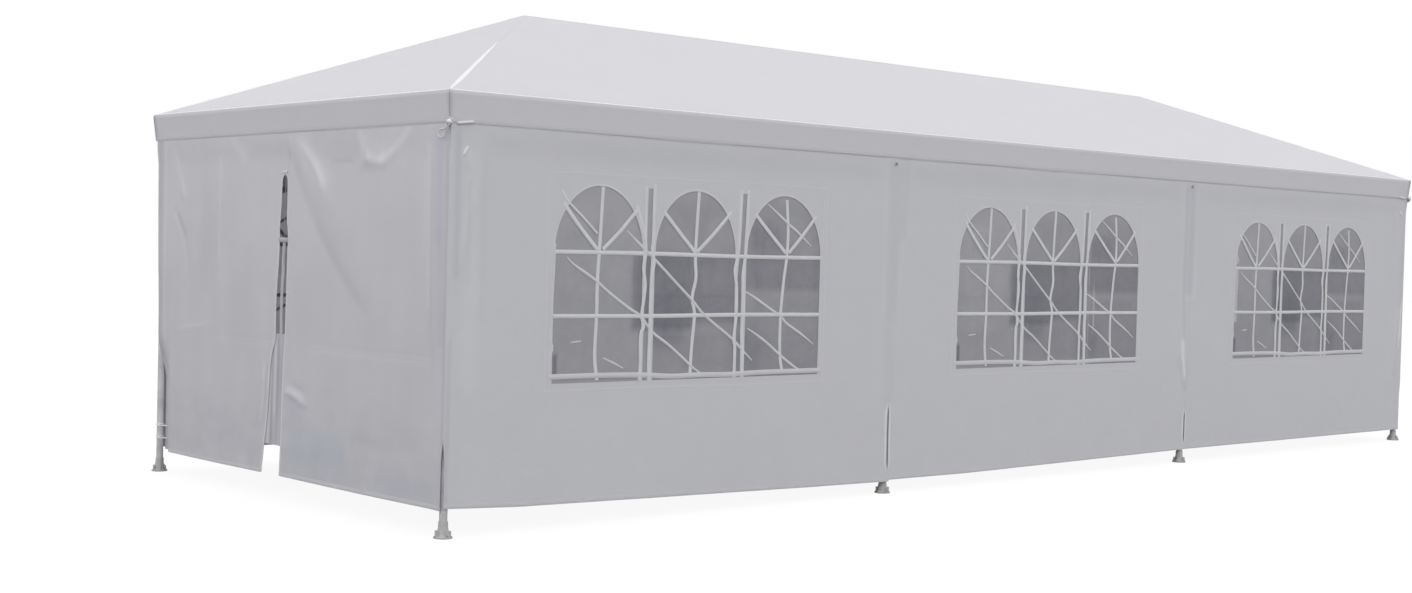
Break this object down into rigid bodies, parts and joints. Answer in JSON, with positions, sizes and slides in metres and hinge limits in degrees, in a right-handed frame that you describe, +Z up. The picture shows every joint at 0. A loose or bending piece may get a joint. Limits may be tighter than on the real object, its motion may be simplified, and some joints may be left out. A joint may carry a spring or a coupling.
{
  "type": "marquee tent",
  "caption": "White hip-roofed party tent on a tube frame, with arched clear windows along both sides and a zipped doorway in each end wall.",
  "frame": {"origin": "on the ground, under the middle of the roof's outer plan", "axes": "+X along the tent to the right as seen from the front, +Y from the front to the back, +Z up"},
  "size_m": [9, 3, 2.6499],
  "materials": {
    "white_steel": "white powder coat, satin",
    "foot_plastic": "moulded grey-white plastic, matte",
    "roof_cloth": "woven polyethylene sheet, white, slight sheen",
    "wall_cloth": "woven polyethylene sheet, white, slight sheen",
    "window_film": "clear soft vinyl film, glossy and creased"
  },
  "bodies": {
    "root": {"foot_front_left_corner": "foot_plastic", "leg_front_left_corner": "white_steel", "foot_front_left_mid": "foot_plastic", "leg_front_left_mid": "white_steel", "foot_front_right_mid": "foot_plastic", "leg_front_right_mid": "white_steel", "foot_front_right_corner": "foot_plastic", "leg_front_right_corner": "white_steel", "foot_back_left_corner": "foot_plastic", "leg_back_left_corner": "white_steel", "foot_back_left_mid": "foot_plastic", "leg_back_left_mid": "white_steel", "foot_back_right_mid": "foot_plastic", "leg_back_right_mid": "white_steel", "foot_back_right_corner": "foot_plastic", "leg_back_right_corner": "white_steel", "eave_rail_left": "white_steel", "eave_rail_right": "white_steel", "eave_rail_front": "white_steel", "eave_rail_back": "white_steel", "ridge_pole": "white_steel", "hip_rafter_front_left": "white_steel", "hip_rafter_front_right": "white_steel", "rafter_front_left_mid": "white_steel", "rafter_front_right_mid": "white_steel", "hip_rafter_back_left": "white_steel", "hip_rafter_back_right": "white_steel", "rafter_back_left_mid": "white_steel", "rafter_back_right_mid": "white_steel", "roof_front": "roof_cloth", "roof_back": "roof_cloth", "roof_left": "roof_cloth", "roof_right": "roof_cloth", "front_wall_left": "wall_cloth", "front_window_left": "window_film", "front_wall_middle": "wall_cloth", "front_window_middle": "window_film", "front_wall_right": "wall_cloth", "front_window_right": "window_film", "back_wall_left": "wall_cloth", "back_window_left": "window_film", "back_wall_middle": "wall_cloth", "back_window_middle": "window_film", "back_wall_right": "wall_cloth", "back_window_right": "window_film", "end_wall_left": "wall_cloth", "end_wall_right": "wall_cloth"}
  },
  "joints": []
}
